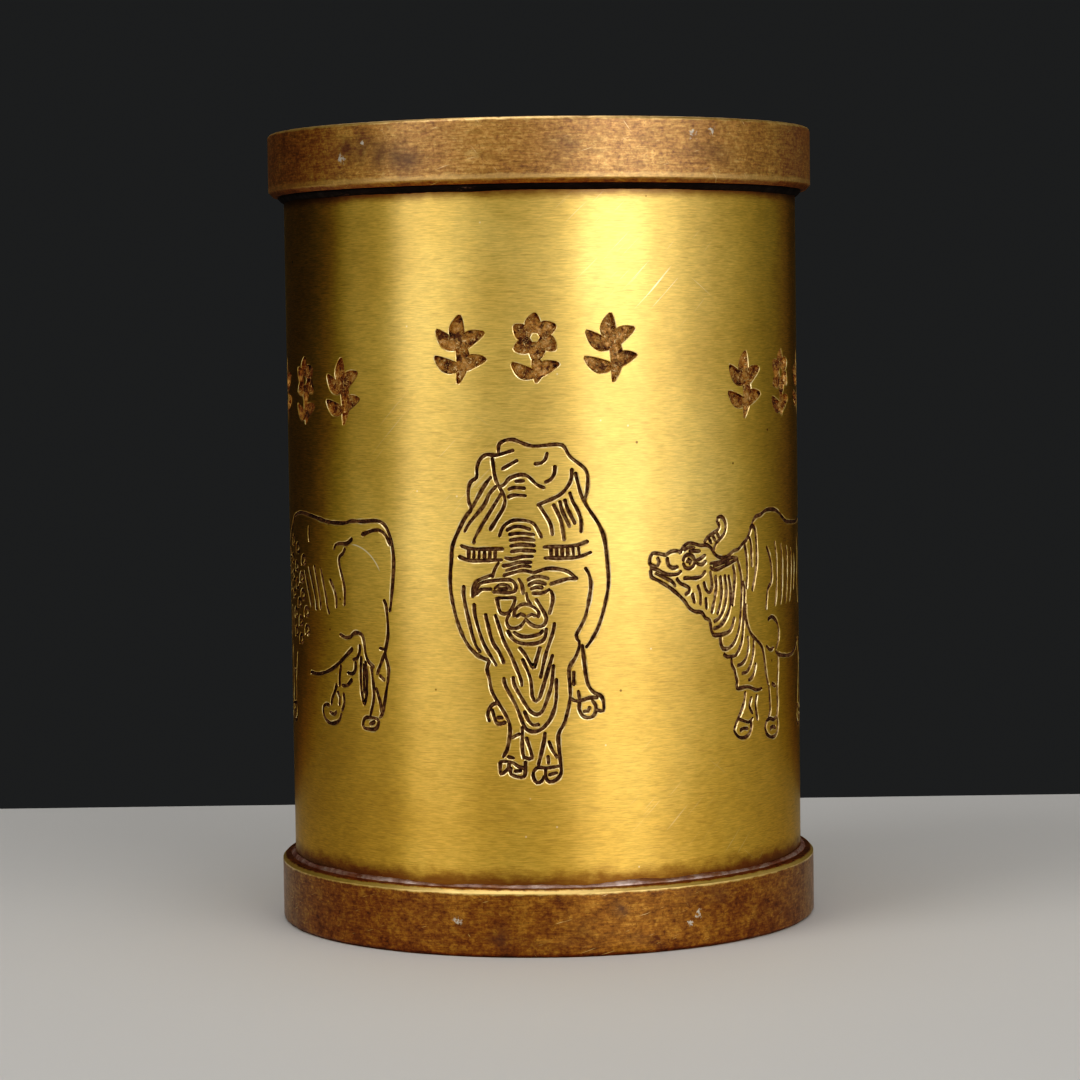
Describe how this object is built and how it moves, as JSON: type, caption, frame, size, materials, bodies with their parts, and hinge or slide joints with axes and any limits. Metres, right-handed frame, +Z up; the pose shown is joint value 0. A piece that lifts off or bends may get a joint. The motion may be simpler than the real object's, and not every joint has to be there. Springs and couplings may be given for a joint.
{
  "type": "pen holder cup",
  "caption": "Round brass desk cup for pens: engraved tube, raised rim and foot rings, soldered floor, open top.",
  "frame": {"origin": "centre of the underside, on the surface that the cup stands on", "axes": "+Z up along the cup's axis, out of its open mouth; -Y is the side with the engraved ox that faces forward"},
  "size_m": [0.0742, 0.0742, 0.1074],
  "materials": {
    "brushed_brass": "brushed round the tube, lightly tarnished",
    "browned_brass": "brushed, with a mottled brown patina and worn bright edges",
    "solder": "dull pinkish grey, uneven"
  },
  "bodies": {
    "root": {"body_tube": "brushed_brass", "rim_ring": "browned_brass", "foot_ring": "browned_brass", "floor_plate": "brushed_brass", "rim_solder": "solder", "foot_solder": "solder"}
  },
  "joints": []
}
